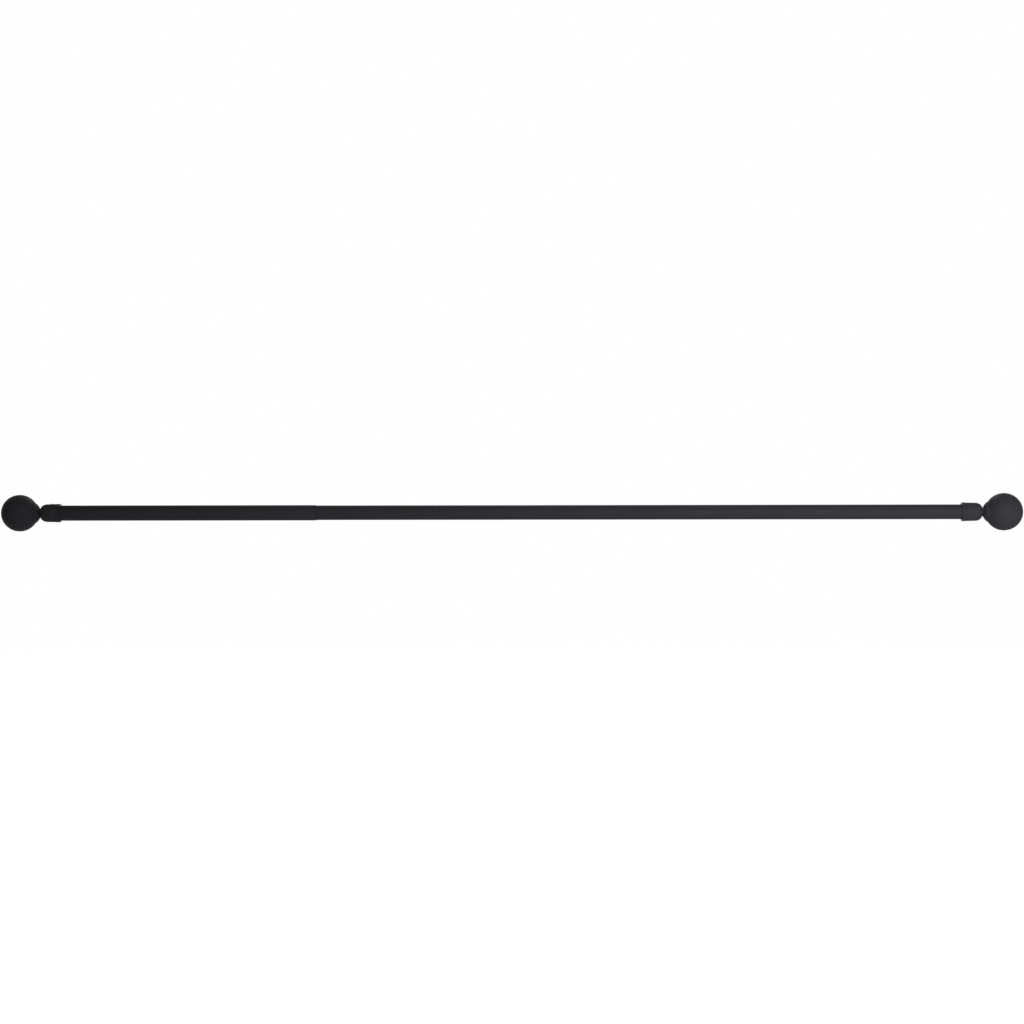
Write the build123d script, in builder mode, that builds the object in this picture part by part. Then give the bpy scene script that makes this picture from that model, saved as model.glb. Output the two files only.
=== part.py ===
"""Telescoping curtain rod with ball finials, in millimetres.

The rod lies along X with +Z up, and the origin is on its axis at the middle of its length.
An outer tube on the left carries an inner tube that is drawn out to the right. The same
finial closes each end: a cap over the tube's end, a narrow neck and a hollow ball.
"""

from build123d import *
import os

# the tubes, with the length of each that shows between the caps
tube_radius = 8.0
tube_wall = 0.35
tube_edge = 0.15
outer_length = 270.0
inner_length = 669.0
draw_out = 150.0
kept_overlap = 55.0

# fits, each measured on the radius
running_fit = 0.05
loose_fit = 0.2
seat_gap = 0.3

# the outer tube's reduced end
swage_length = 1.6
swage_start = 0.4

# the roll crimp that holds the guide bush
crimp_at = 7.0
crimp_width = 1.6
crimp_depth = 0.3

# the guide bush
bush_flange = 4.0
bush_spigot = 13.0
bush_wall = 1.5
bush_lead = 0.6

# the end plugs
plug_flange = 1.2
plug_body = 9.0
plug_wall = 1.8
plug_rib = 1.4
plug_rib_height = 0.4
plug_rib_count = 3

# the cap
cap_length = 21.3
cap_lip_wall = 1.45
cap_lip_width = 3.3
cap_groove_width = 0.45
cap_groove_depth = 0.25
cap_body_wall = 1.9
cap_shoulder_wall = 1.65
cap_shoulder_length = 6.8
cap_shoulder_curve = 7.4
cap_edge = 0.35
tube_in_cap = 13.0
neck_wall = 1.6

# the grip ring
grip_at = 2.4
grip_width = 1.8
grip_height = 0.6
grip_split = 1.2

# the grub screw and its pad
grub_at = 8.7
grub_radius = 1.5
grub_length = 1.75
grub_pitch = 0.5
grub_socket = 1.5
grub_socket_depth = 0.9
pad_radius = 1.2
pad_thickness = 0.35

# the cap screw and its lock washer
screw_radius = 2.5
screw_length = 16.0
screw_pitch = 0.8
screw_head_radius = 4.4
screw_head_height = 2.4
screw_socket = 3.0
screw_socket_depth = 1.4
thread_depth_share = 0.5
lock_washer_thickness = 0.9
lock_washer_split = 0.8
cap_floor = 3.0

# the neck washer
neck_washer_wall = 1.2
neck_washer_thickness = 0.5

# the cup under the ball
cup_rim_height = 5.95
cup_rim_width = 0.65
cup_curve = 13.0
cup_floor = 2.0

# the ball and its insert
ball_radius = 19.25
ball_wall = 0.9
ball_from_neck = 21.8
insert_wall = 1.95
insert_length = 11.0
insert_flange_height = 2.4
insert_flange = 1.5

# what follows from them: the tubes
inner_radius = tube_radius - tube_wall - running_fit
outer_bore = tube_radius - tube_wall
inner_bore = inner_radius - tube_wall
span = outer_length + inner_length
mouth = span / 2
tube_end = mouth + tube_in_cap
seam = outer_length - mouth
overlap = draw_out + kept_overlap
hidden_end = seam - overlap

# places along a finial, measured outwards from the cap's mouth
socket_depth = tube_in_cap + plug_flange + seat_gap
recess_end = cap_length - cap_floor
shoulder_start = cap_length - cap_shoulder_length
relief_depth = swage_length - swage_start + loose_fit
screw_seat = recess_end - lock_washer_thickness
cup_start = cap_length + neck_washer_thickness
insert_start = cup_start + cup_floor
ball_centre = cap_length + neck_washer_thickness / 2 + ball_from_neck

# radii in a finial
socket_radius = inner_radius + running_fit
relief_radius = tube_radius + loose_fit
cap_lip_radius = relief_radius + cap_lip_wall
cap_body_radius = socket_radius + cap_body_wall
cap_shoulder_radius = socket_radius + cap_shoulder_wall
screw_hole = screw_radius + loose_fit
head_recess_radius = screw_head_radius + seat_gap * 2
neck_radius = screw_hole + neck_wall
neck_washer_radius = screw_hole + neck_washer_wall
threaded_bore = screw_radius + running_fit
insert_radius = threaded_bore + insert_wall
insert_hole = insert_radius + running_fit
insert_flange_radius = insert_radius + insert_flange_height
cup_rim_radius = neck_radius + cup_rim_height
ball_seat = ball_radius + running_fit
ball_bore = ball_radius - ball_wall

END_PLANES = {
    "left": Plane(origin=(-mouth, 0, 0), x_dir=(-1, 0, 0), z_dir=(0, 1, 0)),
    "right": Plane(origin=(mouth, 0, 0), x_dir=(1, 0, 0), z_dir=(0, -1, 0)),
}
GRUB_PLANES = {
    "left": Plane(origin=(-mouth - grub_at, 0, 0), x_dir=(1, 0, 0), z_dir=(0, 0, 1)),
    "right": Plane(origin=(mouth + grub_at, 0, 0), x_dir=(1, 0, 0), z_dir=(0, 1, 0)),
}


def sphere_place(radius, out):
    """How far along the finial a ball of this radius lies, on its neck side, at a height out from the axis."""
    return ball_centre - (radius**2 - out**2) ** 0.5


def save(part, name):
    """Labels one finished piece and writes it under its own name."""
    part.label = name
    export_step(part, f"parts/{name}.step")


def thread_points(start, end, radius, pitch):
    """Crests and roots of a thread's outline from start to end, as points along and out from its axis."""
    root = radius - pitch * thread_depth_share
    count = int((end - start) / pitch)
    points = [(start, root)]
    for turn in range(count):
        points.append((start + (turn + 0.5) * pitch, radius))
        points.append((start + (turn + 1) * pitch, root))
    return points


def make_outer_tube():
    with BuildPart() as outer_tube:
        with BuildSketch(Plane.XZ):
            with BuildLine():
                Polyline(
                    (seam, outer_bore),
                    (seam, tube_radius),
                    (-mouth + swage_start, tube_radius),
                    (-mouth + swage_start - swage_length, inner_radius),
                    (-tube_end, inner_radius),
                    (-tube_end, inner_bore),
                    (-mouth + swage_start - swage_length, inner_bore),
                    (-mouth + swage_start, outer_bore),
                    close=True,
                )
            make_face()
        revolve(axis=Axis.X)
        open_end = outer_tube.edges().filter_by(GeomType.CIRCLE).group_by(Axis.X)[-1]
        fillet(open_end.sort_by(SortBy.RADIUS)[-1], tube_edge)
    save(outer_tube.part, "outer_tube")


def make_inner_tube():
    crimp_start = hidden_end + crimp_at
    crimp_slope = crimp_depth
    with BuildPart() as inner_tube:
        with BuildSketch(Plane.XZ):
            with BuildLine():
                Polyline(
                    (hidden_end, inner_bore),
                    (hidden_end, inner_radius),
                    (crimp_start - crimp_slope, inner_radius),
                    (crimp_start, inner_radius - crimp_depth),
                    (crimp_start + crimp_width, inner_radius - crimp_depth),
                    (crimp_start + crimp_width + crimp_slope, inner_radius),
                    (tube_end, inner_radius),
                    (tube_end, inner_bore),
                    (crimp_start + crimp_width + crimp_slope, inner_bore),
                    (crimp_start + crimp_width, inner_bore - crimp_depth),
                    (crimp_start, inner_bore - crimp_depth),
                    (crimp_start - crimp_slope, inner_bore),
                    close=True,
                )
            make_face()
        revolve(axis=Axis.X)
        tube_ends = inner_tube.edges().filter_by(GeomType.CIRCLE).group_by(Axis.X)
        fillet(tube_ends[0].sort_by(SortBy.RADIUS)[-1], tube_edge)
        fillet(tube_ends[-1].sort_by(SortBy.RADIUS)[-1], tube_edge)
    save(inner_tube.part, "inner_tube")


def make_guide_bush():
    """The bush's spigot turns in the inner tube, and the tube's crimp runs in the spigot's groove."""
    spigot_radius = inner_bore - running_fit
    groove_radius = spigot_radius - crimp_depth
    bush_bore = groove_radius - bush_wall
    groove_start = hidden_end + crimp_at - crimp_depth - seat_gap
    groove_end = hidden_end + crimp_at + crimp_width + crimp_depth + seat_gap
    with BuildPart() as guide_bush:
        with BuildSketch(Plane.XZ):
            with BuildLine():
                Polyline(
                    (hidden_end - bush_flange, bush_bore),
                    (hidden_end - bush_flange, inner_radius - bush_lead),
                    (hidden_end - bush_flange + bush_lead, inner_radius),
                    (hidden_end, inner_radius),
                    (hidden_end, spigot_radius),
                    (groove_start, spigot_radius),
                    (groove_start, groove_radius),
                    (groove_end, groove_radius),
                    (groove_end, spigot_radius),
                    (hidden_end + bush_spigot - bush_lead, spigot_radius),
                    (hidden_end + bush_spigot, spigot_radius - bush_lead),
                    (hidden_end + bush_spigot, bush_bore),
                    close=True,
                )
            make_face()
        revolve(axis=Axis.X)
    save(guide_bush.part, "guide_bush")


def make_end_plug(side):
    """A flanged plug whose ribs grip the tube's bore."""
    rib_radius = inner_bore - running_fit
    core_radius = rib_radius - plug_rib_height
    plug_bore = core_radius - plug_wall
    rib_step = plug_body / plug_rib_count
    outline = [(tube_in_cap + plug_flange, 0), (tube_in_cap + plug_flange, inner_radius - running_fit)]
    outline += [(tube_in_cap, inner_radius - running_fit)]
    for rib in range(plug_rib_count):
        rib_start = tube_in_cap - rib * rib_step
        outline += [(rib_start, rib_radius), (rib_start - plug_rib, rib_radius)]
        outline += [(rib_start - plug_rib - plug_rib_height, core_radius), (rib_start - rib_step, core_radius)]
    outline += [(tube_in_cap - plug_body, plug_bore), (tube_in_cap, plug_bore), (tube_in_cap, 0)]
    with BuildPart() as end_plug:
        with BuildSketch(END_PLANES[side]):
            with BuildLine():
                Polyline(*outline, close=True)
            make_face()
        revolve(axis=Axis.X)
    save(end_plug.part, f"{side}_end_plug")


def make_cap(side):
    """A cast cap: lip, shallow groove, tapered body and rounded shoulder outside, tube socket inside.

    The socket is relieved at its mouth, which clears the cone of the outer tube's reduced end.
    """
    groove_start = cap_lip_width
    groove_end = cap_lip_width + cap_groove_width
    with BuildPart() as cap:
        with BuildSketch(END_PLANES[side]):
            with BuildLine():
                Polyline(
                    (cap_length, neck_radius),
                    (cap_length, screw_hole),
                    (recess_end, screw_hole),
                    (recess_end, head_recess_radius),
                    (socket_depth, head_recess_radius),
                    (socket_depth, socket_radius),
                    (grip_at + grip_width, socket_radius),
                    (grip_at + grip_width, socket_radius + grip_height),
                    (grip_at, socket_radius + grip_height),
                    (grip_at, socket_radius),
                    (relief_depth + relief_radius - socket_radius, socket_radius),
                    (relief_depth, relief_radius),
                    (0, relief_radius),
                    (0, cap_lip_radius - cap_edge),
                )
                RadiusArc((0, cap_lip_radius - cap_edge), (cap_edge, cap_lip_radius), cap_edge)
                Polyline(
                    (cap_edge, cap_lip_radius),
                    (groove_start, cap_lip_radius),
                    (groove_start, cap_body_radius - cap_groove_depth),
                    (groove_end, cap_body_radius - cap_groove_depth),
                    (groove_end, cap_body_radius),
                    (shoulder_start, cap_shoulder_radius),
                )
                RadiusArc((shoulder_start, cap_shoulder_radius), (cap_length, neck_radius), cap_shoulder_curve)
            make_face()
        revolve(axis=Axis.X)
        with BuildSketch(GRUB_PLANES[side].offset(inner_radius)):
            Circle(grub_radius + running_fit)
        extrude(amount=cap_lip_radius, mode=Mode.SUBTRACT)
    save(cap.part, f"{side}_cap")


def make_grip_ring(side):
    """A split ring that sits in the socket's groove and runs on the tube."""
    ring_start = grip_at + running_fit
    ring_end = grip_at + grip_width - running_fit
    with BuildPart() as grip_ring:
        with BuildSketch(END_PLANES[side]):
            with BuildLine():
                Polyline(
                    (ring_start, socket_radius),
                    (ring_start, socket_radius + grip_height - running_fit),
                    (ring_end, socket_radius + grip_height - running_fit),
                    (ring_end, socket_radius),
                    close=True,
                )
            make_face()
        revolve(axis=Axis.X)
        with BuildSketch(GRUB_PLANES[side]):
            Rectangle(span, grip_split)
        extrude(amount=-cap_lip_radius, mode=Mode.SUBTRACT)
    save(grip_ring.part, f"{side}_grip_ring")


def make_grub_pad(side):
    with BuildPart() as grub_pad:
        with BuildSketch(GRUB_PLANES[side].offset(inner_radius + running_fit)):
            Circle(pad_radius)
        extrude(amount=pad_thickness)
    save(grub_pad.part, f"{side}_grub_pad")


def make_grub_screw(side):
    """A headless socket screw, with its threads as rings."""
    grub_start = inner_radius + running_fit + pad_thickness
    grub_end = grub_start + grub_length
    grub_plane = GRUB_PLANES[side]
    profile_plane = Plane(origin=grub_plane.origin, x_dir=grub_plane.z_dir, z_dir=grub_plane.y_dir)
    outline = [(grub_start, 0)] + thread_points(grub_start, grub_end, grub_radius, grub_pitch)
    outline += [(grub_end, grub_radius - grub_pitch * thread_depth_share), (grub_end, 0)]
    with BuildPart() as grub_screw:
        with BuildSketch(profile_plane):
            with BuildLine():
                Polyline(*outline, close=True)
            make_face()
        revolve(axis=Axis(grub_plane.origin, grub_plane.z_dir))
        with BuildSketch(grub_plane.offset(grub_end)):
            RegularPolygon(grub_socket / 2, 6, major_radius=False)
        extrude(amount=-grub_socket_depth, mode=Mode.SUBTRACT)
    save(grub_screw.part, f"{side}_grub_screw")


def make_cap_screw(side):
    """A pan-headed socket screw, its head inside the cap and its threads as rings."""
    head_start = screw_seat - screw_head_height
    thread_start = cap_length
    thread_end = screw_seat + screw_length
    root = screw_radius - screw_pitch * thread_depth_share
    outline = [(head_start, 0), (head_start, screw_head_radius - cap_edge)]
    outline += [(head_start + cap_edge, screw_head_radius), (screw_seat, screw_head_radius)]
    outline += [(screw_seat, screw_radius), (thread_start - screw_pitch, screw_radius)]
    outline += thread_points(thread_start, thread_end, screw_radius, screw_pitch)
    outline += [(thread_end, root), (thread_end, 0)]
    with BuildPart() as cap_screw:
        with BuildSketch(END_PLANES[side]):
            with BuildLine():
                Polyline(*outline, close=True)
            make_face()
        revolve(axis=Axis.X)
        head_face = cap_screw.faces().filter_by(Axis.X).sort_by(Axis.X)[0 if side == "right" else -1]
        with BuildSketch(head_face):
            RegularPolygon(screw_socket / 2, 6, major_radius=False)
        extrude(amount=-screw_socket_depth, mode=Mode.SUBTRACT)
    save(cap_screw.part, f"{side}_cap_screw")


def make_lock_washer(side):
    with BuildPart() as lock_washer:
        with BuildSketch(END_PLANES[side]):
            with BuildLine():
                Polyline(
                    (screw_seat, screw_hole),
                    (screw_seat, screw_head_radius),
                    (recess_end, screw_head_radius),
                    (recess_end, screw_hole),
                    close=True,
                )
            make_face()
        revolve(axis=Axis.X)
        with BuildSketch(GRUB_PLANES[side]):
            Rectangle(span, lock_washer_split)
        extrude(amount=cap_lip_radius, mode=Mode.SUBTRACT)
    save(lock_washer.part, f"{side}_lock_washer")


def make_neck_washer(side):
    with BuildPart() as neck_washer:
        with BuildSketch(END_PLANES[side]):
            with BuildLine():
                Polyline(
                    (cap_length, screw_hole),
                    (cap_length, neck_washer_radius),
                    (cup_start, neck_washer_radius),
                    (cup_start, screw_hole),
                    close=True,
                )
            make_face()
        revolve(axis=Axis.X)
    save(neck_washer.part, f"{side}_neck_washer")


def make_ball_cup(side):
    """A flared cup: a rounded outside from the neck to the rim, and a round seat for the ball."""
    rim_end = sphere_place(ball_seat, cup_rim_radius)
    seat_start = sphere_place(ball_seat, insert_hole)
    with BuildPart() as ball_cup:
        with BuildSketch(END_PLANES[side]):
            with BuildLine():
                RadiusArc((cup_start, neck_radius), (rim_end - cup_rim_width, cup_rim_radius), cup_curve)
                Line((rim_end - cup_rim_width, cup_rim_radius), (rim_end, cup_rim_radius))
                RadiusArc((rim_end, cup_rim_radius), (seat_start, insert_hole), -ball_seat)
                Polyline(
                    (seat_start, insert_hole),
                    (insert_start, insert_hole),
                    (insert_start, screw_hole),
                    (cup_start, screw_hole),
                    (cup_start, neck_radius),
                )
            make_face()
        revolve(axis=Axis.X)
    save(ball_cup.part, f"{side}_ball_cup")


def make_ball(side):
    """A hollow ball, open at the neck for the insert."""
    opening = insert_hole + loose_fit
    outer_start = sphere_place(ball_radius, opening)
    inner_start = sphere_place(ball_bore, opening)
    with BuildPart() as ball:
        with BuildSketch(END_PLANES[side]):
            with BuildLine():
                ThreePointArc((outer_start, opening), (ball_centre, ball_radius), (ball_centre + ball_radius, 0))
                Line((ball_centre + ball_radius, 0), (ball_centre + ball_bore, 0))
                ThreePointArc((ball_centre + ball_bore, 0), (ball_centre, ball_bore), (inner_start, opening))
                Line((inner_start, opening), (outer_start, opening))
            make_face()
        revolve(axis=Axis.X)
    save(ball.part, f"{side}_ball")


def make_ball_insert(side):
    """A threaded bush whose flange clamps the ball's wall against the cup."""
    flange_start = sphere_place(ball_bore, insert_flange_radius) + running_fit
    insert_end = insert_start + insert_length
    with BuildPart() as ball_insert:
        with BuildSketch(END_PLANES[side]):
            with BuildLine():
                Polyline(
                    (insert_start, threaded_bore),
                    (insert_start, insert_radius),
                    (flange_start, insert_radius),
                    (flange_start, insert_flange_radius),
                    (flange_start + insert_flange, insert_flange_radius),
                    (flange_start + insert_flange, insert_radius),
                    (insert_end, insert_radius),
                    (insert_end, threaded_bore),
                    close=True,
                )
            make_face()
        revolve(axis=Axis.X)
    save(ball_insert.part, f"{side}_ball_insert")


os.makedirs("parts", exist_ok=True)
make_outer_tube()
make_inner_tube()
make_guide_bush()
for side in END_PLANES:
    make_end_plug(side)
    make_cap(side)
    make_grip_ring(side)
    make_grub_pad(side)
    make_grub_screw(side)
    make_cap_screw(side)
    make_lock_washer(side)
    make_neck_washer(side)
    make_ball_cup(side)
    make_ball(side)
    make_ball_insert(side)
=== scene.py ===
"""Looks of a telescoping curtain rod with ball finials, laid out as a Blender add-on.

The packed CAD model is the fixed frame, in metres: the rod lies along X, its middle at the
origin. The coated pieces and the screws are modelled again here with finer edges and real
threads, and every other fitting keeps its CAD shape under a better material.
"""

import math

import bpy
from bpy.props import FloatProperty, FloatVectorProperty, IntProperty, PointerProperty
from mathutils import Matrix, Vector


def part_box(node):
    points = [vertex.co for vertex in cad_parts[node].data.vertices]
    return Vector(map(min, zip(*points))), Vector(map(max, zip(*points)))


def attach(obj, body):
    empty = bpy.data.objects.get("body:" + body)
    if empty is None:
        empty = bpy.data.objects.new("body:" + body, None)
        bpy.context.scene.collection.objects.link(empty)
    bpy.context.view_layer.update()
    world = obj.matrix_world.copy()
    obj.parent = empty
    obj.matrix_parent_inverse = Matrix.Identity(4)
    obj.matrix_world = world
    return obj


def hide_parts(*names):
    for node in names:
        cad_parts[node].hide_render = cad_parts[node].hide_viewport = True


bl_info = {
    "name": "Curtain rod with ball finials",
    "version": (1, 0, 0),
    "blender": (4, 5, 0),
    "location": "View3D > Sidebar > Curtain rod",
    "description": "Models the coated pieces and screws of a telescoping curtain rod and sets its stage",
    "category": "Object",
}

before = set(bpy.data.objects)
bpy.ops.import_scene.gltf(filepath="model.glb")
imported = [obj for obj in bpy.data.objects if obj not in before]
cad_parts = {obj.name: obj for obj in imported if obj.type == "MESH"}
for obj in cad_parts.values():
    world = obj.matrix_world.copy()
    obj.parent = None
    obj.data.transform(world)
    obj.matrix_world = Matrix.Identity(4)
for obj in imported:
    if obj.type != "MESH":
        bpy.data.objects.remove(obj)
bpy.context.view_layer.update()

OUTER_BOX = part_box("outer_tube")
INNER_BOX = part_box("inner_tube")

# which way each end of the rod points, and the axis that its grub screw lies on
ENDS = {"left": -1, "right": 1}
GRUB_AXES = {"left": "Z", "right": "Y"}
AXES = {"X": (1, 0, 0), "Y": (0, 1, 0), "Z": (0, 0, 1)}

# steps of the curves in the turned outlines
EDGE_STEPS = 6
CURVE_STEPS = 14
SEAT_STEPS = 12
BALL_STEPS = 72

# steps in one turn of a thread, and faces round the screws and round the grub screws' holes
THREAD_STEPS = 36
SCREW_SIDES = 72
HOLE_SIDES = 48

# the start of a thread's rib, the two edges of its crest and its end, as shares of the pitch
RIB_PLACES = (0, 0.4, 0.5, 0.9)
# in thread depths: how far in the rib reaches, past the root, and how far the limit clears its crest
RIB_REACH = 1.2
CREST_ROOM = 0.1

# how wide edges are rounded, as a share of the tube's wall, the cup's rim and the ball's wall
TUBE_ROUNDING = 1 / 6
RIM_ROUNDING = 1 / 5
BALL_ROUNDING = 1 / 9
BEVEL_SEGMENTS = 2
# edges that turn by more than this are rounded, and stay edges in the shading
SHARP = math.radians(30)

# points nearer than this, in metres, are one point
MERGE = 1e-6
# width in metres of the plane that is merged into an outline's first point
SEED_WIDTH = 0.001
# holes with up to this many edges are closed after a cut
SMALL_HOLE = 4

# noise lies mostly in this range, so that is what is stretched
NOISE_RANGE = (0.3, 0.7)
# the long wave's scale as a share of the grain's, and the grain's share of the height
WAVE_SCALE = 0.35
GRAIN_SHARE = 0.6

# the round floor's radius in metres, and its sides
FLOOR_RADIUS = 7
FLOOR_SIDES = 96
# the floor's glow near the rod and far away, and the distances between which it changes
FLOOR_GLOW = (0.75, 1.0)
GLOW_PLACES = (1.1, 2.0)
# each lamp's place, what it is turned to, its width in metres and its spread in degrees
LAMPS = {
    "key_light": ((0.63, -1.8, 0.05), (0.63, 0, 0.05), 0.7, 90),
    "top_light": ((0, 1.3, 1.3), (0, 0, 0), 0.6, 180),
    "back_light": ((0, 2.4, 0.1), (0, 0, 0), 0.5, 95),
}
# the camera's sensor, in millimetres
SENSOR_WIDTH = 36


# sizes and colours

def length(name, description, default):
    """A size in metres, as the sidebar shows it."""
    return FloatProperty(name=name, description=description, default=default, min=0.0, precision=5,
                         unit="LENGTH", subtype="DISTANCE")


def angle(name, description, default):
    """An angle, given in degrees."""
    return FloatProperty(name=name, description=description, default=math.radians(default), unit="ROTATION",
                         subtype="ANGLE")


def power(name, description, default):
    """A lamp's power in watts."""
    return FloatProperty(name=name, description=description, default=default, min=0.0, unit="POWER")


def share(name, description, default):
    """A number from 0 to 1."""
    return FloatProperty(name=name, description=description, default=default, min=0.0, max=1.0,
                         subtype="FACTOR")


def colour(name, description, default):
    """A linear colour."""
    return FloatVectorProperty(name=name, description=description, default=default, size=3, min=0.0, max=1.0,
                               subtype="COLOR")


class TubeSizes(bpy.types.PropertyGroup):
    """The two tubes. Their lengths and radii come from the frame."""

    outer_radius: length("Outer tube radius", "Outside radius of the outer tube", OUTER_BOX[1].z)
    inner_radius: length("Inner tube radius", "Outside radius of the inner tube", INNER_BOX[1].z)
    wall: length("Wall", "Thickness of both tubes' walls", 0.00035)
    edge: length("Edge", "Rounding of the tubes' cut ends", 0.00015)
    swage_start: length("Swage start", "From the cap's mouth to where the outer tube narrows", 0.0004)
    swage_length: length("Swage length", "Length over which the outer tube narrows", 0.0016)
    tube_in_cap: length("Tube in cap", "Length of tube that a cap covers", 0.013)
    crimp_at: length("Crimp", "From the inner tube's hidden end to its roll crimp", 0.007)
    crimp_width: length("Crimp width", "Width of the roll crimp's floor", 0.0016)
    crimp_depth: length("Crimp depth", "Depth of the roll crimp", 0.0003)
    sides: IntProperty(name="Sides", description="Faces round a turned piece", default=128, min=24, max=256)


class CapSizes(bpy.types.PropertyGroup):
    """The cap, measured outwards from its mouth along the rod."""

    cap_length: length("Cap length", "From the cap's mouth to the neck", 0.02128)
    lip_radius: length("Lip radius", "Radius of the lip round the mouth", 0.00965)
    lip_width: length("Lip width", "Width of the lip", 0.0033)
    groove_width: length("Groove width", "Width of the groove behind the lip", 0.00045)
    groove_depth: length("Groove depth", "Depth of the groove behind the lip", 0.00025)
    body_radius: length("Body radius", "Radius of the body behind the groove", 0.00955)
    shoulder_radius: length("Shoulder radius", "Radius where the shoulder starts", 0.0093)
    shoulder_start: length("Shoulder start", "From the mouth to the shoulder", 0.0145)
    shoulder_curve: length("Shoulder curve", "Radius of the shoulder's rounding", 0.0074)
    neck_radius: length("Neck radius", "Radius at the neck", 0.0043)
    socket_radius: length("Socket radius", "Radius of the socket for the tube", 0.00765)
    socket_depth: length("Socket depth", "Depth of the socket", 0.0145)
    relief_radius: length("Relief radius", "Radius of the wider mouth of the socket", 0.0082)
    relief_depth: length("Relief depth", "Depth of the wider mouth of the socket", 0.0014)
    ring_at: length("Ring groove", "From the mouth to the groove for the grip ring", 0.0024)
    ring_width: length("Ring groove width", "Width of the groove for the grip ring", 0.0018)
    ring_depth: length("Ring groove depth", "Depth of the groove for the grip ring", 0.0006)
    recess_radius: length("Head recess radius", "Radius of the recess for the screw's head", 0.005)
    recess_end: length("Head recess end", "From the mouth to the recess's floor", 0.0183)
    screw_hole: length("Screw hole", "Radius of the hole for the cap screw", 0.0027)
    grub_at: length("Grub screw", "From the mouth to the grub screw", 0.0087)
    grub_hole: length("Grub hole", "Radius of the grub screw's hole", 0.00155)
    grub_sink: length("Grub hole countersink", "Depth of the countersink round that hole", 0.00025)
    edge: length("Edge", "Rounding of the cap's edges", 0.00018)


class BallSizes(bpy.types.PropertyGroup):
    """The ball and the cup under it, measured outwards from the cap's mouth along the rod."""

    ball_radius: length("Ball radius", "Radius of the ball", 0.01925)
    ball_wall: length("Ball wall", "Thickness of the ball's wall", 0.0009)
    ball_centre: length("Ball centre", "From the mouth to the ball's centre", 0.04335)
    ball_opening: length("Ball opening", "Radius of the hole for the insert", 0.00475)
    cup_start: length("Cup start", "From the mouth to the cup", 0.02182)
    cup_floor: length("Cup floor", "Thickness of the cup's floor", 0.00198)
    cup_hole: length("Cup hole", "Radius of the cup's hole for the insert", 0.00455)
    cup_curve: length("Cup curve", "Radius of the cup's rounded outside", 0.013)
    rim_radius: length("Rim radius", "Radius of the cup's rim", 0.01025)
    rim_width: length("Rim width", "Width of the cup's rim", 0.00065)
    seat_gap: length("Seat gap", "Gap between the ball and its seat", 0.00005)


class ScrewSizes(bpy.types.PropertyGroup):
    """The grub screws, measured from the rod's axis, and the cap screws, measured from the cap's mouth."""

    thread_depth: share("Thread depth", "Depth of a thread as a share of its pitch", 0.5)
    grub_radius: length("Grub radius", "Radius of the grub screw's thread", 0.0015)
    grub_pitch: length("Grub pitch", "Rise of the grub screw's thread in a turn", 0.0005)
    grub_bottom: length("Grub bottom", "From the rod's axis to the grub screw's bottom", 0.008)
    grub_top: length("Grub top", "From the rod's axis to the grub screw's top", 0.00975)
    grub_key: length("Grub key", "Hex key across its flats for the grub screw", 0.0015)
    grub_key_depth: length("Grub key depth", "Depth of the grub screw's socket", 0.0009)
    screw_radius: length("Screw radius", "Radius of the cap screw's thread", 0.0025)
    screw_pitch: length("Screw pitch", "Rise of the cap screw's thread in a turn", 0.0008)
    screw_seat: length("Screw seat", "From the mouth to the underside of the screw's head", 0.0174)
    screw_length: length("Screw length", "Length of the cap screw under its head", 0.016)
    plain_shank: length("Plain shank", "Length of the cap screw under its head that has no thread", 0.0034)
    head_radius: length("Head radius", "Radius of the cap screw's head", 0.0044)
    head_height: length("Head height", "Height of the cap screw's head", 0.0024)
    head_edge: length("Head edge", "Rounding of the cap screw's head", 0.0003)
    head_key: length("Head key", "Hex key across its flats for the cap screw", 0.003)
    head_key_depth: length("Head key depth", "Depth of the cap screw's socket", 0.0014)


class FinishColours(bpy.types.PropertyGroup):
    """The finishes, as linear colours."""

    coat: colour("Powder coat", "Matt charcoal coat of the tubes, caps, cups and balls",
                 (0.0295, 0.0287, 0.034))
    black_oxide: colour("Black oxide", "Blackened steel of the grub screws", (0.018, 0.018, 0.019))
    zinc: colour("Zinc plate", "Plated steel of the hidden screws and washers", (0.5, 0.51, 0.52))
    nylon: colour("Nylon", "Natural nylon of the bush, rings and pads", (0.78, 0.77, 0.72))
    black_nylon: colour("Black nylon", "Black nylon of the plugs and neck washers", (0.022, 0.022, 0.024))
    coat_roughness: share("Coat roughness", "Roughness of the powder coat", 0.58)
    tube_grain: length("Tube grain", "Size of the coat's grain on the drawn tubes", 0.00035)
    tube_depth: length("Tube grain depth", "Depth of the coat's grain on the drawn tubes", 0.00001)
    casting_grain: length("Casting grain", "Size of the coat's grain on the castings and balls", 0.00045)
    casting_depth: length("Casting grain depth", "Depth of the coat's grain on the castings and balls",
                          0.000014)


class StageSettings(bpy.types.PropertyGroup):
    """The floor, the lights and the camera."""

    floor_drop: length("Floor drop", "From the rod's axis down to the floor", 0.62)
    floor_colour: colour("Floor", "Colour of the floor", (0.86, 0.86, 0.86))
    key_power: power("Key light", "Power of the soft light in front of the inner tube's end", 10.6)
    top_power: power("Top light", "Power of the soft light above and behind", 13.0)
    back_power: power("Back light", "Power of the soft light behind", 10.0)
    soft_light: share("Soft light", "Light from all round", 0.08)
    camera_distance: length("Camera distance", "From the rod's middle to the camera", 1.979)
    camera_turn: angle("Camera turn", "How far the camera stands towards the inner tube's end", 2.57)
    camera_aim: angle("Camera aim", "Turn of the camera away from the rod's middle", -0.165)
    camera_tilt: angle("Camera tilt", "How far the camera looks up", 0.014)
    camera_roll: angle("Camera roll", "Tilt of the camera, which draws the inner tube's end higher", 0.087)
    focal_length: FloatProperty(name="Focal length", description="Focal length in millimetres", default=66.8,
                                unit="CAMERA")


# modelling by operators

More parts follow.
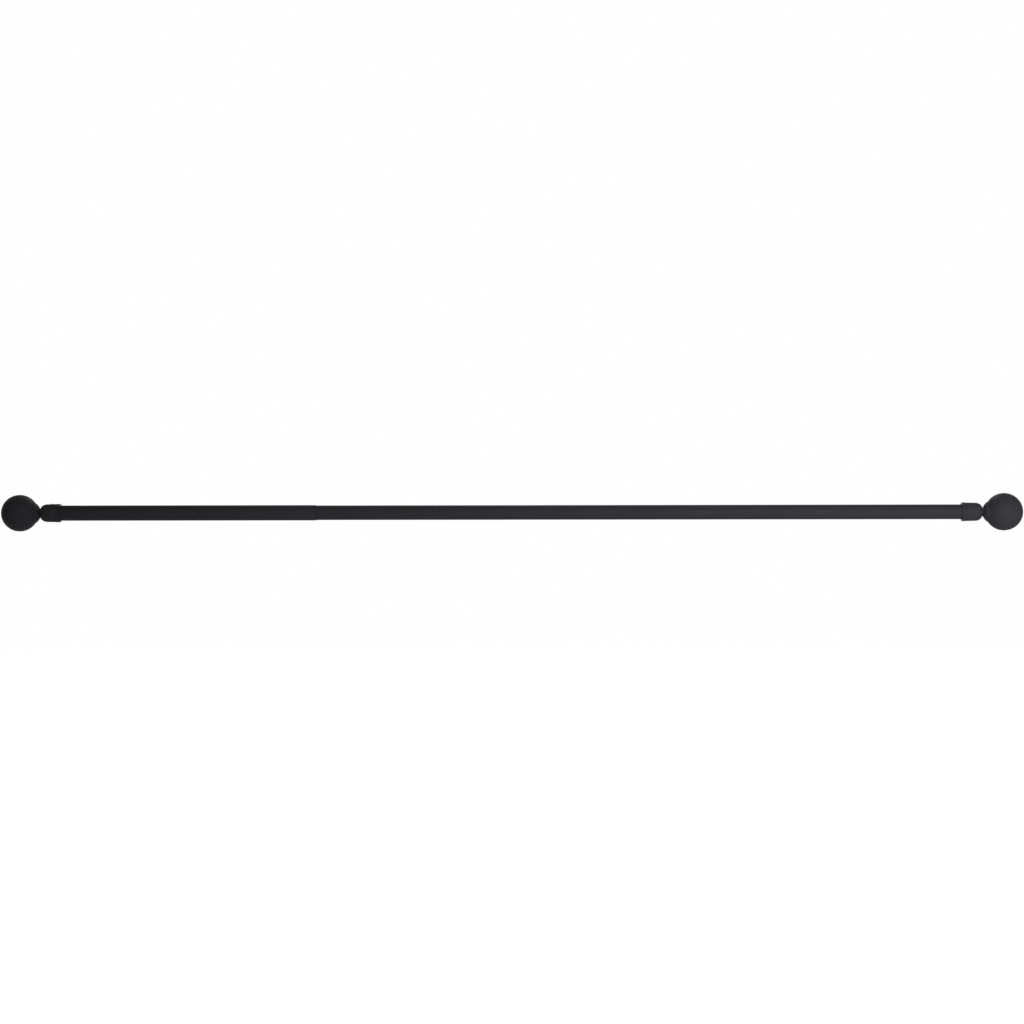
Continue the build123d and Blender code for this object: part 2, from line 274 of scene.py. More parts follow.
def start_clean():
    """Leaves edit mode and deselects everything, so that an operator acts on its own piece alone."""
    if bpy.context.mode != "OBJECT":
        bpy.ops.object.mode_set(mode="OBJECT")
    bpy.ops.object.select_all(action="DESELECT")


def make_active(piece):
    """Selects one piece alone and makes it the active one."""
    start_clean()
    piece.select_set(True)
    bpy.context.view_layer.objects.active = piece


def arc(start, end, radius, steps):
    """Points of the arc from start to end that bulges away from the rod's axis; the ends are left out."""
    (x0, r0), (x1, r1) = start, end
    chord = math.hypot(x1 - x0, r1 - r0)
    rise = math.sqrt(radius**2 - (chord / 2) ** 2)
    middle = ((x0 + x1) / 2, (r0 + r1) / 2)
    candidates = [(middle[0] + turn * rise * (r0 - r1) / chord, middle[1] + turn * rise * (x1 - x0) / chord)
                  for turn in (-1, 1)]
    centre = min(candidates, key=lambda point: point[1])
    first = math.atan2(r0 - centre[1], x0 - centre[0])
    last = math.atan2(r1 - centre[1], x1 - centre[0])
    swing = (last - first + math.pi) % (2 * math.pi) - math.pi
    turns = [first + swing * step / steps for step in range(1, steps)]
    return [(centre[0] + radius * math.cos(turn), centre[1] + radius * math.sin(turn)) for turn in turns]


def beside(axis):
    """The place of an (along, out) point of a piece that is turned about an axis through the origin."""
    along = Vector(AXES[axis])
    out = Vector(AXES["Z"] if axis == "X" else AXES["X"])
    return lambda point: tuple(along * point[0] + out * point[1])


def mouth_place():
    """How far from the rod's middle each cap's mouth lies."""
    return INNER_BOX[1].x - bpy.context.scene.rod_tubes.tube_in_cap


def along_end(side):
    """The place of an (outwards, out) point of a finial, on the given end of the rod."""
    mouth = mouth_place()
    return lambda point: (ENDS[side] * (mouth + point[0]), 0.0, point[1])


def draw_outline(name, points):
    """Draws edges: a plane is merged into one vertex, which is extruded from point to point."""
    start_clean()
    bpy.ops.mesh.primitive_plane_add(size=SEED_WIDTH, location=points[0])
    piece = bpy.context.object
    piece.name = name
    piece.data.name = name
    bpy.ops.object.transform_apply(location=True, rotation=True, scale=True)
    bpy.ops.object.mode_set(mode="EDIT")
    bpy.ops.mesh.select_all(action="SELECT")
    bpy.ops.mesh.merge(type="CENTER")
    for before, after in zip(points, points[1:]):
        step = [b - a for a, b in zip(before, after)]
        bpy.ops.mesh.extrude_region_move(TRANSFORM_OT_translate={"value": step})
    bpy.ops.mesh.select_all(action="SELECT")
    bpy.ops.mesh.remove_doubles(threshold=MERGE)
    return piece


def close_shell():
    """Merges doubles, drops edges without faces and turns the faces outwards, and leaves edit mode."""
    bpy.ops.mesh.select_all(action="SELECT")
    bpy.ops.mesh.remove_doubles(threshold=MERGE)
    bpy.ops.mesh.delete_loose(use_verts=True, use_edges=True, use_faces=False)
    bpy.ops.mesh.select_all(action="SELECT")
    bpy.ops.mesh.normals_make_consistent(inside=False)
    bpy.ops.object.mode_set(mode="OBJECT")


def turn_outline(name, outline, sides, place, axis="X", closed=True):
    """Spins an outline of (along, out) points about an axis through the origin into a closed piece."""
    points = [place(point) for point in outline]
    piece = draw_outline(name, points + points[:1] if closed else points)
    bpy.ops.mesh.select_all(action="SELECT")
    bpy.ops.mesh.spin(steps=sides, angle=2 * math.pi, center=(0, 0, 0), axis=AXES[axis])
    close_shell()
    return piece


def round_edges(piece, width):
    """Rounds a piece's sharp edges and shades it smooth."""
    make_active(piece)
    bpy.ops.object.modifier_add(type="BEVEL")
    bevel = piece.modifiers[-1]
    bevel.width = width
    bevel.segments = BEVEL_SEGMENTS
    bevel.limit_method = "ANGLE"
    bevel.angle_limit = SHARP
    bpy.ops.object.modifier_apply(modifier=bevel.name)
    bpy.ops.object.shade_smooth_by_angle(angle=SHARP)


def combine(piece, tool, operation):
    """Cuts the tool out of a piece, or adds it, or keeps what both share, and removes the tool."""
    make_active(piece)
    bpy.ops.object.modifier_add(type="BOOLEAN")
    cut = piece.modifiers[-1]
    cut.operation = operation
    cut.solver = "EXACT"
    cut.object = tool
    bpy.ops.object.modifier_apply(modifier=cut.name)
    bpy.ops.object.mode_set(mode="EDIT")
    bpy.ops.mesh.select_all(action="SELECT")
    bpy.ops.mesh.dissolve_degenerate(threshold=MERGE)
    bpy.ops.mesh.select_all(action="SELECT")
    bpy.ops.mesh.fill_holes(sides=SMALL_HOLE)
    close_shell()
    make_active(tool)
    bpy.ops.object.delete()


def move_piece(piece, step):
    """Moves a piece and leaves its object at the origin."""
    make_active(piece)
    bpy.ops.transform.translate(value=step)
    bpy.ops.object.transform_apply(location=True, rotation=False, scale=False)


def wind_rib(name, axis, start, end, radius, pitch, depth):
    """Winds a thread's rib right-handed about an axis through the origin, from start to past the end."""
    sunk = radius - RIB_REACH * depth
    rib = zip(RIB_PLACES, (sunk, radius, radius, sunk))
    points = [beside(axis)((start + rib_place * pitch, out)) for rib_place, out in rib]
    piece = draw_outline(name, points + points[:1])
    bpy.ops.object.mode_set(mode="OBJECT")
    bpy.ops.object.modifier_add(type="SCREW")
    screw = piece.modifiers[-1]
    screw.axis = axis
    screw.screw_offset = pitch
    screw.iterations = math.ceil((end - start) / pitch)
    screw.steps = THREAD_STEPS
    screw.render_steps = THREAD_STEPS
    bpy.ops.object.modifier_apply(modifier=screw.name)
    bpy.ops.object.mode_set(mode="EDIT")
    bpy.ops.mesh.select_all(action="SELECT")
    bpy.ops.mesh.fill_holes(sides=0)
    close_shell()
    return piece


def threaded_rod(name, axis, start, end, radius, pitch):
    """A rod about an axis through the origin, threaded from end to end and chamfered to the thread's root."""
    depth = pitch * bpy.context.scene.rod_screws.thread_depth
    root = radius - depth
    crest = radius + CREST_ROOM * depth
    early, late = start - pitch, end + pitch
    place = beside(axis)
    core = [(early, 0), (early, root), (late, root), (late, 0)]
    piece = turn_outline(name, core, THREAD_STEPS, place, axis, closed=False)
    combine(piece, wind_rib(f"{name}_rib", axis, early, late, radius, pitch, depth), "UNION")
    slope = crest - root
    chamfered = [(start, 0), (start, root), (start + slope, crest), (end - slope, crest), (end, root),
                 (end, 0)]
    limit = turn_outline(f"{name}_limit", chamfered, SCREW_SIDES, place, axis, closed=False)
    combine(piece, limit, "INTERSECT")
    return piece


def sink_hexagon(piece, axis, top, key, depth):
    """Sinks a hexagon socket, as wide as its key across the flats, into the face at a place on the axis."""
    facing = {"X": (0, math.pi / 2, 0), "Y": (math.pi / 2, 0, 0), "Z": (0, 0, 0)}
    start_clean()
    bpy.ops.mesh.primitive_cylinder_add(vertices=6, radius=key / math.sqrt(3), depth=2 * depth,
                                        location=beside(axis)((top, 0)), rotation=facing[axis])
    tool = bpy.context.object
    bpy.ops.object.transform_apply(location=True, rotation=True, scale=True)
    combine(piece, tool, "DIFFERENCE")


def finish_piece(piece, body, slot, material, *nodes):
    """Gives a piece its material and its body, and hides the CAD nodes that it stands for; the finish's name
    in slot is not used.
    """
    piece.data.materials.clear()
    piece.data.materials.append(material)
    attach(piece, body)
    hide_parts(*nodes)


# node groups and materials

def add_node(tree, kind, **settings):
    """A new node with its settings."""
    node = tree.nodes.new(kind)
    for name, value in settings.items():
        setattr(node, name, value)
    return node


def new_group(name, inputs, outputs):
    """An empty node group with named sockets, and its input and output nodes."""
    group = bpy.data.node_groups.new(name, "ShaderNodeTree")
    for socket_name, kind, default in inputs:
        socket = group.interface.new_socket(name=socket_name, in_out="INPUT", socket_type=kind)
        if default is not None:
            socket.default_value = default
    for socket_name, kind in outputs:
        group.interface.new_socket(name=socket_name, in_out="OUTPUT", socket_type=kind)
    return group, add_node(group, "NodeGroupInput"), add_node(group, "NodeGroupOutput")


def feed(tree, socket, value):
    """Sets a socket to a number, or links another node's output to it."""
    if isinstance(value, (int, float)):
        socket.default_value = value
    else:
        tree.links.new(value, socket)


def noise(tree, vector, scale, detail, roughness=0.5):
    """The value of a noise in space."""
    node = add_node(tree, "ShaderNodeTexNoise", noise_dimensions="3D")
    node.inputs["Detail"].default_value = detail
    node.inputs["Roughness"].default_value = roughness
    feed(tree, node.inputs["Vector"], vector)
    feed(tree, node.inputs["Scale"], scale)
    return node.outputs["Fac"]


def math_node(tree, operation, first, second):
    """The result of a calculation with two numbers or outputs."""
    node = add_node(tree, "ShaderNodeMath", operation=operation)
    feed(tree, node.inputs[0], first)
    feed(tree, node.inputs[1], second)
    return node.outputs[0]


def to_range(tree, value, old_range, new_range):
    """Stretches a value from one range to another and holds it there."""
    node = add_node(tree, "ShaderNodeMapRange", clamp=True)
    sockets = ("Value", "From Min", "From Max", "To Min", "To Max")
    for socket, number in zip(sockets, (value, *old_range, *new_range)):
        feed(tree, node.inputs[socket], number)
    return node.outputs["Result"]


def scale_colour(tree, base, factor):
    """A colour made lighter or darker by a factor."""
    node = add_node(tree, "ShaderNodeVectorMath", operation="SCALE")
    feed(tree, node.inputs[0], base)
    feed(tree, node.inputs["Scale"], factor)
    return node.outputs["Vector"]


def grain_group():
    """Fine grain and a longer wave in the height, on a slow mottle of the colour."""
    group, given, made = new_group(
        "fine_grain",
        [("Vector", "NodeSocketVector", None), ("Color", "NodeSocketColor", (0.5, 0.5, 0.5, 1)),
         ("Grain Size", "NodeSocketFloat", 0.0004), ("Mottle Size", "NodeSocketFloat", 0.03),
         ("Color Change", "NodeSocketFloat", 0.08), ("Roughness", "NodeSocketFloat", 0.5),
         ("Roughness Change", "NodeSocketFloat", 0.05)],
        [("Color", "NodeSocketColor"), ("Roughness", "NodeSocketFloat"), ("Height", "NodeSocketFloat")],
    )
    vector = given.outputs["Vector"]
    grain_scale = math_node(group, "DIVIDE", 1.0, given.outputs["Grain Size"])
    mottle_scale = math_node(group, "DIVIDE", 1.0, given.outputs["Mottle Size"])
    wave = noise(group, vector, math_node(group, "MULTIPLY", grain_scale, WAVE_SCALE), detail=1.0)
    grain = noise(group, vector, grain_scale, detail=3.0, roughness=0.6)
    fine = math_node(group, "MULTIPLY", grain, GRAIN_SHARE)
    height = math_node(group, "ADD", fine, math_node(group, "MULTIPLY", wave, 1 - GRAIN_SHARE))
    mottle = noise(group, vector, mottle_scale, detail=4.0, roughness=0.55)
    change = given.outputs["Color Change"]
    shades = (math_node(group, "SUBTRACT", 1.0, change), math_node(group, "ADD", 1.0, change))
    spread = given.outputs["Roughness Change"]
    roughness = given.outputs["Roughness"]
    finish = (math_node(group, "SUBTRACT", roughness, spread), math_node(group, "ADD", roughness, spread))
    shade = to_range(group, mottle, NOISE_RANGE, shades)
    group.links.new(scale_colour(group, given.outputs["Color"], shade), made.inputs["Color"])
    group.links.new(to_range(group, grain, NOISE_RANGE, finish), made.inputs["Roughness"])
    group.links.new(height, made.inputs["Height"])
    return group


def object_vector(tree, stretch=(1, 1, 1)):
    """Object coordinates, stretched along the axes."""
    place = add_node(tree, "ShaderNodeTexCoord")
    mapping = add_node(tree, "ShaderNodeMapping")
    mapping.inputs["Scale"].default_value = stretch
    tree.links.new(place.outputs["Object"], mapping.inputs["Vector"])
    return mapping.outputs["Vector"]


def new_material(name, **sockets):
    """A material with a principled surface, and numbers or colours set on its own sockets."""
    material = bpy.data.materials.new(name)
    material.use_nodes = True
    shader = material.node_tree.nodes["Principled BSDF"]
    for socket, value in sockets.items():
        shader.inputs[socket.replace("_", " ")].default_value = value
    return material, material.node_tree, shader


def grained_material(name, group, base, roughness, grain_size, grain_depth, mottle_size, color_change,
                     roughness_change, specular=0.5, metallic=0.0, stretch=(1, 1, 1)):
    """A principled surface whose colour, roughness and bump come from the fine grain."""
    material, tree, shader = new_material(name, Metallic=metallic, Specular_IOR_Level=specular)
    grain = add_node(tree, "ShaderNodeGroup", node_tree=group)
    values = {"Color": (*base, 1), "Grain Size": grain_size, "Mottle Size": mottle_size,
              "Color Change": color_change, "Roughness": roughness, "Roughness Change": roughness_change}
    for socket, value in values.items():
        grain.inputs[socket].default_value = value
    tree.links.new(object_vector(tree, stretch), grain.inputs["Vector"])
    bump = add_node(tree, "ShaderNodeBump")
    bump.inputs["Strength"].default_value = 1.0
    bump.inputs["Distance"].default_value = grain_depth
    tree.links.new(grain.outputs["Height"], bump.inputs["Height"])
    tree.links.new(grain.outputs["Color"], shader.inputs["Base Color"])
    tree.links.new(grain.outputs["Roughness"], shader.inputs["Roughness"])
    tree.links.new(bump.outputs["Normal"], shader.inputs["Normal"])
    return material


# the materials made so far, by name
MATERIALS = {}


def material_named(name):
    """One of the rod's materials; all are made the first time that one is asked for."""
    if not MATERIALS:
        finish = bpy.context.scene.rod_finish
        group = grain_group()
        coat = {"base": finish.coat, "roughness": finish.coat_roughness, "roughness_change": 0.04,
                "specular": 0.02}
        recipes = {
            "coated_tube": ("charcoal coat on tube", {
                **coat, "grain_size": finish.tube_grain, "grain_depth": finish.tube_depth,
                "mottle_size": 0.03, "color_change": 0.05, "stretch": (0.5, 1, 1)}),
            "coated_casting": ("charcoal coat on casting", {
                **coat, "grain_size": finish.casting_grain, "grain_depth": finish.casting_depth,
                "mottle_size": 0.012, "color_change": 0.07}),
            "black_oxide": ("black oxide steel", {
                "base": finish.black_oxide, "roughness": 0.42, "roughness_change": 0.08, "grain_size": 0.0002,
                "grain_depth": 0.000004, "mottle_size": 0.002, "color_change": 0.2, "specular": 0.15,
                "metallic": 0.35}),
            "zinc": ("zinc plated steel", {
                "base": finish.zinc, "roughness": 0.33, "roughness_change": 0.1, "grain_size": 0.00025,
                "grain_depth": 0.000003, "mottle_size": 0.003, "color_change": 0.1, "metallic": 1.0,
                "stretch": (4, 0.6, 0.6)}),
            "nylon": ("natural nylon", {
                "base": finish.nylon, "roughness": 0.5, "roughness_change": 0.05, "grain_size": 0.0006,
                "grain_depth": 0.000008, "mottle_size": 0.006, "color_change": 0.04}),
            "black_nylon": ("black nylon", {
                "base": finish.black_nylon, "roughness": 0.6, "roughness_change": 0.06, "grain_size": 0.0005,
                "grain_depth": 0.000008, "mottle_size": 0.006, "color_change": 0.1, "specular": 0.06}),
        }
        for key, (label, recipe) in recipes.items():
            MATERIALS[key] = grained_material(label, group, **recipe)
    return MATERIALS[name]


# the pieces

class RodOperator:
    """Undo and register options that all the pieces share."""

    bl_options = {"REGISTER", "UNDO"}


class CURTAINROD_OT_outer_tube(RodOperator, bpy.types.Operator):
    """Models the outer tube: an open mouth over the inner tube, and a narrowed end in the left cap"""

    bl_idname = "curtain_rod.outer_tube"
    bl_label = "Outer tube"

    def execute(self, context):
        sizes = context.scene.rod_tubes
        seam = OUTER_BOX[1].x
        end = OUTER_BOX[0].x
        cone_wide = end + sizes.tube_in_cap + sizes.swage_start
        cone_narrow = cone_wide - sizes.swage_length
        outer, inner, wall, edge = sizes.outer_radius, sizes.inner_radius, sizes.wall, sizes.edge
        outline = [(seam - edge, outer)] + arc((seam - edge, outer), (seam, outer - edge), edge, EDGE_STEPS)
        outline += [(seam, outer - edge), (seam, outer - wall), (cone_wide, outer - wall),
                    (cone_narrow, inner - wall), (end, inner - wall), (end, inner), (cone_narrow, inner),
                    (cone_wide, outer)]
        piece = turn_outline("outer_tube_coated", outline, sizes.sides, beside("X"))
        round_edges(piece, wall * TUBE_ROUNDING)
        finish_piece(piece, "outer", "coated_steel", material_named("coated_tube"), "outer_tube")
        return {"FINISHED"}


class CURTAINROD_OT_inner_tube(RodOperator, bpy.types.Operator):
    """Models the inner tube, with its rounded ends and the roll crimp round the guide bush"""

    bl_idname = "curtain_rod.inner_tube"
    bl_label = "Inner tube"

    def execute(self, context):
        sizes = context.scene.rod_tubes
        start, end = INNER_BOX[0].x, INNER_BOX[1].x
        radius, wall, edge, depth = sizes.inner_radius, sizes.wall, sizes.edge, sizes.crimp_depth
        crimp = start + sizes.crimp_at
        crimp_end = crimp + sizes.crimp_width
        bore = radius - wall
        outline = [(start, bore), (start, radius - edge)]
        outline += arc((start, radius - edge), (start + edge, radius), edge, EDGE_STEPS)
        outline += [(start + edge, radius), (crimp - depth, radius), (crimp, radius - depth),
                    (crimp_end, radius - depth), (crimp_end + depth, radius), (end - edge, radius)]
        outline += arc((end - edge, radius), (end, radius - edge), edge, EDGE_STEPS)
        outline += [(end, radius - edge), (end, bore), (crimp_end + depth, bore), (crimp_end, bore - depth),
                    (crimp, bore - depth), (crimp - depth, bore)]
        piece = turn_outline("inner_tube_coated", outline, sizes.sides, beside("X"))
        round_edges(piece, wall * TUBE_ROUNDING)
        finish_piece(piece, "inner", "coated_steel", material_named("coated_tube"), "inner_tube")
        return {"FINISHED"}


class CURTAINROD_OT_caps(RodOperator, bpy.types.Operator):
    """Models both caps: a lip, a groove, a tapered body, a rounded shoulder and the grub screw's hole"""

    bl_idname = "curtain_rod.caps"
    bl_label = "Caps"

    def execute(self, context):
        sizes = context.scene.rod_cap
        sides = context.scene.rod_tubes.sides
        groove_end = sizes.lip_width + sizes.groove_width
        groove_radius = sizes.body_radius - sizes.groove_depth
        shoulder = (sizes.shoulder_start, sizes.shoulder_radius)
        neck = (sizes.cap_length, sizes.neck_radius)
        ring_end = sizes.ring_at + sizes.ring_width
        ring_radius = sizes.socket_radius + sizes.ring_depth
        relief_slope = sizes.relief_radius - sizes.socket_radius
        outline = [(0, sizes.relief_radius), (0, sizes.lip_radius), (sizes.lip_width, sizes.lip_radius),
                   (sizes.lip_width, groove_radius), (groove_end, groove_radius),
                   (groove_end, sizes.body_radius), shoulder]
        outline += arc(shoulder, neck, sizes.shoulder_curve, CURVE_STEPS) + [neck]
        outline += [(sizes.cap_length, sizes.screw_hole), (sizes.recess_end, sizes.screw_hole),
                    (sizes.recess_end, sizes.recess_radius), (sizes.socket_depth, sizes.recess_radius),
                    (sizes.socket_depth, sizes.socket_radius), (ring_end, sizes.socket_radius),
                    (ring_end, ring_radius), (sizes.ring_at, ring_radius),
                    (sizes.ring_at, sizes.socket_radius),
                    (sizes.relief_depth + relief_slope, sizes.socket_radius),
                    (sizes.relief_depth, sizes.relief_radius)]
        coat = material_named("coated_casting")
        for side in ENDS:
            piece = turn_outline(f"{side}_cap_coated", outline, sides, along_end(side))
            self.cut_grub_hole(sizes, piece, side)
            round_edges(piece, sizes.edge)
            finish_piece(piece, f"{side}_finial", "coated_steel", coat, f"{side}_cap")
        return {"FINISHED"}

    def cut_grub_hole(self, sizes, piece, side):
        """Cuts the grub screw's hole through the cap's wall, countersunk where it comes out."""
        axis = GRUB_AXES[side]
        sink = sizes.grub_sink
        inside = sizes.socket_radius - sizes.grub_hole
        outside = sizes.body_radius + sizes.grub_hole
        wide = sizes.grub_hole + 2 * sink
        outline = [(inside, 0), (inside, sizes.grub_hole), (sizes.body_radius - sink, sizes.grub_hole),
                   (sizes.body_radius + sink, wide), (outside, wide), (outside, 0)]
        tool = turn_outline("grub_hole_tool", outline, HOLE_SIDES, beside(axis), axis, closed=False)
        move_piece(tool, along_end(side)((sizes.grub_at, 0)))
        combine(piece, tool, "DIFFERENCE")


class CURTAINROD_OT_ball_cups(RodOperator, bpy.types.Operator):
    """Models the flared cup under each ball"""

    bl_idname = "curtain_rod.ball_cups"
    bl_label = "Ball cups"

    def execute(self, context):
        sizes = context.scene.rod_ball
        cap = context.scene.rod_cap
        seat = sizes.ball_radius + sizes.seat_gap

        def on_seat(out):
            """The point of the ball's seat at a distance from the rod's axis."""
            return (sizes.ball_centre - math.sqrt(seat**2 - out**2), out)

        rim = on_seat(sizes.rim_radius)
        neck = (sizes.cup_start, cap.neck_radius)
        rim_start = (rim[0] - sizes.rim_width, sizes.rim_radius)
        outline = [neck] + arc(neck, rim_start, sizes.cup_curve, CURVE_STEPS) + [rim_start, rim]
        inwards = (sizes.cup_hole - sizes.rim_radius) / SEAT_STEPS
        outline += [on_seat(sizes.rim_radius + inwards * step) for step in range(1, SEAT_STEPS + 1)]
        outline += [(sizes.cup_start + sizes.cup_floor, sizes.cup_hole),
                    (sizes.cup_start + sizes.cup_floor, cap.screw_hole), (sizes.cup_start, cap.screw_hole)]
        sides = context.scene.rod_tubes.sides
        coat = material_named("coated_casting")
        for side in ENDS:
            piece = turn_outline(f"{side}_cup_coated", outline, sides, along_end(side))
            round_edges(piece, sizes.rim_width * RIM_ROUNDING)
            finish_piece(piece, f"{side}_ball_end", "coated_steel", coat, f"{side}_ball_cup")
        return {"FINISHED"}


class CURTAINROD_OT_balls(RodOperator, bpy.types.Operator):
    """Models both hollow balls, each with the hole for its insert"""

    bl_idname = "curtain_rod.balls"
    bl_label = "Balls"

    def execute(self, context):
        sizes = context.scene.rod_ball
        centre = sizes.ball_centre

        def shell(radius):
            """The ball's outline from the opening's edge to its far pole."""
            first = math.asin(sizes.ball_opening / radius)
            turns = [first + (math.pi - first) * step / BALL_STEPS for step in range(BALL_STEPS)]
            points = [(centre - radius * math.cos(turn), radius * math.sin(turn)) for turn in turns]
            return points + [(centre + radius, 0)]

        outline = shell(sizes.ball_radius) + shell(sizes.ball_radius - sizes.ball_wall)[::-1]
        sides = context.scene.rod_tubes.sides
        coat = material_named("coated_casting")
        for side in ENDS:
            piece = turn_outline(f"{side}_ball_coated", outline, sides, along_end(side))
            round_edges(piece, sizes.ball_wall * BALL_ROUNDING)
            finish_piece(piece, f"{side}_ball_end", "coated_steel", coat, f"{side}_ball")
        return {"FINISHED"}


class CURTAINROD_OT_grub_screws(RodOperator, bpy.types.Operator):
    """Models both grub screws, threaded from end to end round a hexagon socket"""

    bl_idname = "curtain_rod.grub_screws"
    bl_label = "Grub screws"

    def execute(self, context):
        sizes = context.scene.rod_screws
        grub_at = context.scene.rod_cap.grub_at
        oxide = material_named("black_oxide")
        for side, axis in GRUB_AXES.items():
            piece = threaded_rod(f"{side}_grub_screw_threaded", axis, sizes.grub_bottom, sizes.grub_top,
                                 sizes.grub_radius, sizes.grub_pitch)
            sink_hexagon(piece, axis, sizes.grub_top, sizes.grub_key, sizes.grub_key_depth)
            move_piece(piece, along_end(side)((grub_at, 0)))
            bpy.ops.object.shade_smooth_by_angle(angle=SHARP)
            finish_piece(piece, f"{side}_grub", "black_oxide", oxide, f"{side}_grub_screw")
        return {"FINISHED"}


class CURTAINROD_OT_cap_screws(RodOperator, bpy.types.Operator):
    """Models both cap screws: a socket head inside the cap and a thread that the ball is screwed on"""

    bl_idname = "curtain_rod.cap_screws"
    bl_label = "Cap screws"

    def execute(self, context):
        sizes = context.scene.rod_screws
        thread_start = sizes.screw_seat + sizes.plain_shank
        thread_end = sizes.screw_seat + sizes.screw_length
        head_start = sizes.screw_seat - sizes.head_height
        shank_end = thread_start + sizes.screw_pitch * sizes.thread_depth
        outline = [(head_start, 0), (head_start, sizes.head_radius), (sizes.screw_seat, sizes.head_radius),
                   (sizes.screw_seat, sizes.screw_radius), (shank_end, sizes.screw_radius), (shank_end, 0)]
        zinc = material_named("zinc")
        for side in ENDS:
            place = along_end(side)
            head = turn_outline(f"{side}_cap_screw_threaded", outline, SCREW_SIDES, place, closed=False)
            round_edges(head, sizes.head_edge)
            sink_hexagon(head, "X", place((head_start, 0))[0], sizes.head_key, sizes.head_key_depth)
            low, high = sorted(place((end, 0))[0] for end in (thread_start, thread_end))
            rod = threaded_rod(f"{side}_cap_screw_rod", "X", low, high, sizes.screw_radius,
                               sizes.screw_pitch)
            combine(head, rod, "UNION")
            make_active(head)
            bpy.ops.object.shade_smooth_by_angle(angle=SHARP)
            finish_piece(head, f"{side}_finial", "zinc_plate", zinc, f"{side}_cap_screw")
        return {"FINISHED"}


class CURTAINROD_OT_fittings(RodOperator, bpy.types.Operator):
    """Gives the CAD pieces that keep their own shape their materials"""

    bl_idname = "curtain_rod.fittings"
    bl_label = "Fittings"

    def execute(self, context):
        finishes = {"end_plug": "black_nylon", "grip_ring": "nylon", "grub_pad": "nylon",
                    "lock_washer": "zinc", "neck_washer": "black_nylon", "ball_insert": "zinc"}
        named = {f"{side}_{piece}": finish for side in ENDS for piece, finish in finishes.items()}
        named["guide_bush"] = "nylon"
        for node, finish in named.items():
            for material_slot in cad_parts[node].material_slots:
                material_slot.material = material_named(finish)
        return {"FINISHED"}


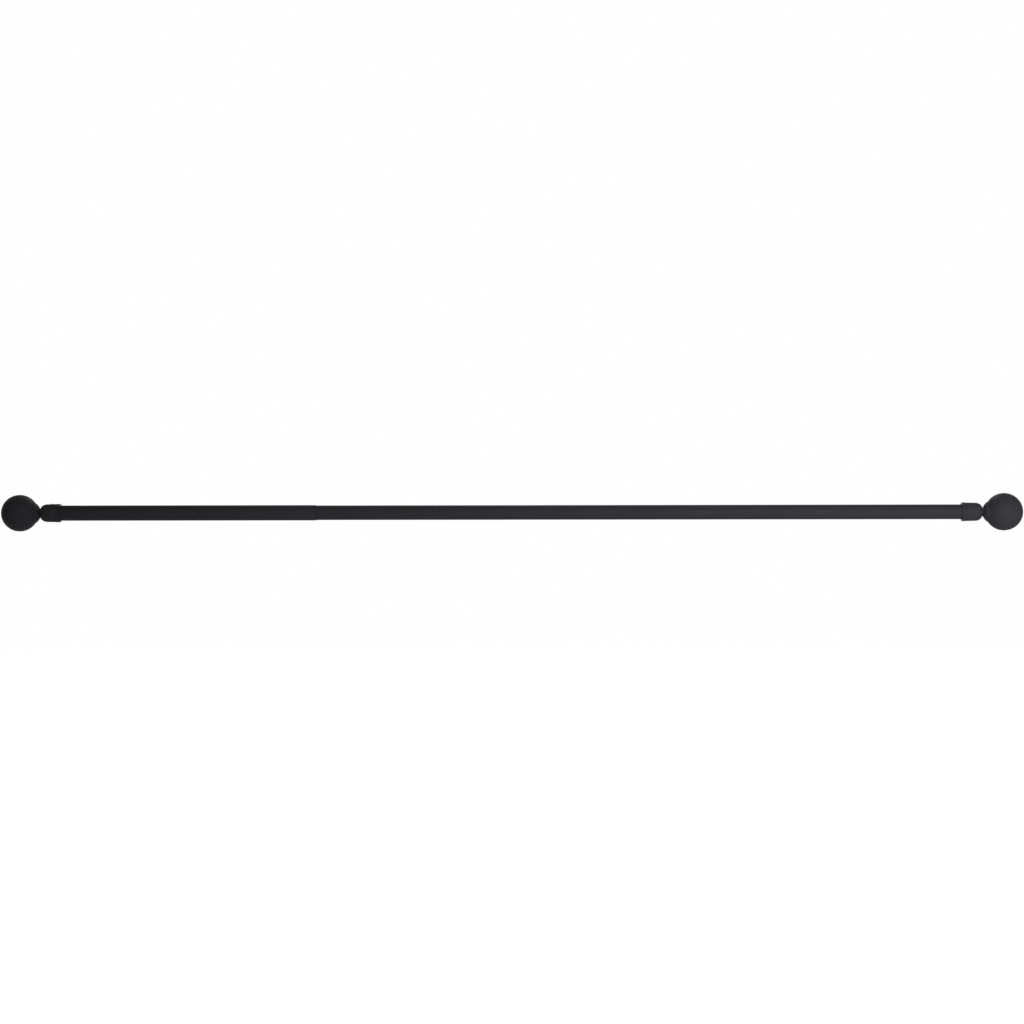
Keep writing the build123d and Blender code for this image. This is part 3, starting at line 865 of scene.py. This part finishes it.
class CURTAINROD_OT_stage(RodOperator, bpy.types.Operator):
    """Sets the pale floor, the soft lights, the white surroundings and the camera"""

    bl_idname = "curtain_rod.stage"
    bl_label = "Stage"

    def execute(self, context):
        stage = context.scene.rod_stage
        powers = {"key_light": stage.key_power, "top_light": stage.top_power, "back_light": stage.back_power}
        self.add_floor(stage)
        self.add_surroundings(context.scene, stage)
        for name, watts in powers.items():
            self.add_light(name, watts, *LAMPS[name])
        self.add_camera(context.scene, stage)
        context.scene.view_settings.view_transform = "Standard"
        return {"FINISHED"}

    def add_floor(self, stage):
        """Adds a pale floor that glows where it is seen, more far from the rod, where it turns white."""
        start_clean()
        bpy.ops.mesh.primitive_circle_add(vertices=FLOOR_SIDES, radius=FLOOR_RADIUS, fill_type="NGON",
                                          location=(0, 0, -stage.floor_drop))
        floor = bpy.context.object
        floor.name = "floor"
        bpy.ops.object.transform_apply(location=True, rotation=True, scale=True)
        material, tree, shader = new_material(
            "pale floor", Base_Color=(*stage.floor_colour, 1), Roughness=0.9, Specular_IOR_Level=0.1,
            Emission_Color=(1, 1, 1, 1))
        away = add_node(tree, "ShaderNodeVectorMath", operation="LENGTH")
        feed(tree, away.inputs[0], object_vector(tree))
        glow = to_range(tree, away.outputs["Value"], GLOW_PLACES, FLOOR_GLOW)
        seen_glow = math_node(tree, "MULTIPLY", self.seen_rays(tree), glow)
        feed(tree, shader.inputs["Emission Strength"], seen_glow)
        floor.data.materials.append(material)

    def seen_rays(self, tree):
        """1 for a ray that the camera, a mirror or glass sees, and 0 for one that gathers light."""
        path = add_node(tree, "ShaderNodeLightPath")
        seen = math_node(tree, "MAXIMUM", path.outputs["Is Camera Ray"], path.outputs["Is Glossy Ray"])
        return math_node(tree, "MAXIMUM", seen, path.outputs["Is Transmission Ray"])

    def add_surroundings(self, scene, stage):
        """Makes the world white where it is seen, and a weak soft light on the rod."""
        world = bpy.data.worlds.new("white surroundings")
        world.use_nodes = True
        scene.world = world
        tree = world.node_tree
        background = tree.nodes["Background"]
        background.inputs["Color"].default_value = (1, 1, 1, 1)
        strength = to_range(tree, self.seen_rays(tree), (0, 1), (stage.soft_light, 1))
        feed(tree, background.inputs["Strength"], strength)

    def add_light(self, name, watts, place, aim, width, spread):
        """Adds a square soft light at a place, turned to its aim; its spread is in degrees."""
        start_clean()
        bpy.ops.object.light_add(type="AREA", location=place)
        lamp = bpy.context.object
        lamp.name = name
        lamp.data.shape = "SQUARE"
        lamp.data.size = width
        lamp.data.energy = watts
        lamp.data.spread = math.radians(spread)
        lamp.visible_camera = False
        lamp.rotation_euler = (Vector(aim) - Vector(place)).to_track_quat("-Z", "Y").to_euler()

    def add_camera(self, scene, stage):
        """Adds the camera where the photograph was taken from."""
        start_clean()
        turn = stage.camera_turn
        place = (stage.camera_distance * math.sin(turn), -stage.camera_distance * math.cos(turn), 0)
        facing = (math.radians(90) + stage.camera_tilt, stage.camera_roll, turn + stage.camera_aim)
        bpy.ops.object.camera_add(location=place, rotation=facing)
        camera = bpy.context.object
        camera.name = "camera"
        camera.data.sensor_width = SENSOR_WIDTH
        camera.data.lens = stage.focal_length
        scene.camera = camera


class CURTAINROD_PT_sidebar(bpy.types.Panel):
    """Lists the rod's pieces and its sizes"""

    bl_idname = "CURTAINROD_PT_sidebar"
    bl_label = "Curtain rod"
    bl_space_type = "VIEW_3D"
    bl_region_type = "UI"
    bl_category = "Curtain rod"

    def draw(self, context):
        for operator in OPERATORS:
            self.layout.operator(operator.bl_idname)
        for holder, settings in SETTINGS.items():
            box = self.layout.box()
            box.label(text=settings.__doc__)
            for name in settings.__annotations__:
                box.prop(getattr(context.scene, holder), name)


SETTINGS = {
    "rod_tubes": TubeSizes, "rod_cap": CapSizes, "rod_ball": BallSizes, "rod_screws": ScrewSizes,
    "rod_finish": FinishColours, "rod_stage": StageSettings,
}
OPERATORS = (
    CURTAINROD_OT_outer_tube, CURTAINROD_OT_inner_tube, CURTAINROD_OT_caps, CURTAINROD_OT_ball_cups,
    CURTAINROD_OT_balls, CURTAINROD_OT_grub_screws, CURTAINROD_OT_cap_screws, CURTAINROD_OT_fittings,
    CURTAINROD_OT_stage,
)
CLASSES = (*SETTINGS.values(), *OPERATORS, CURTAINROD_PT_sidebar)


def register():
    for cls in CLASSES:
        bpy.utils.register_class(cls)
    for holder, cls in SETTINGS.items():
        setattr(bpy.types.Scene, holder, PointerProperty(type=cls))


def unregister():
    for holder in SETTINGS:
        delattr(bpy.types.Scene, holder)
    for cls in reversed(CLASSES):
        bpy.utils.unregister_class(cls)


def main():
    """Makes every piece and the stage, in order."""
    register()
    for operator in OPERATORS:
        family, name = operator.bl_idname.split(".")
        getattr(getattr(bpy.ops, family), name)()
    start_clean()


if __name__ == "__main__":
    main()
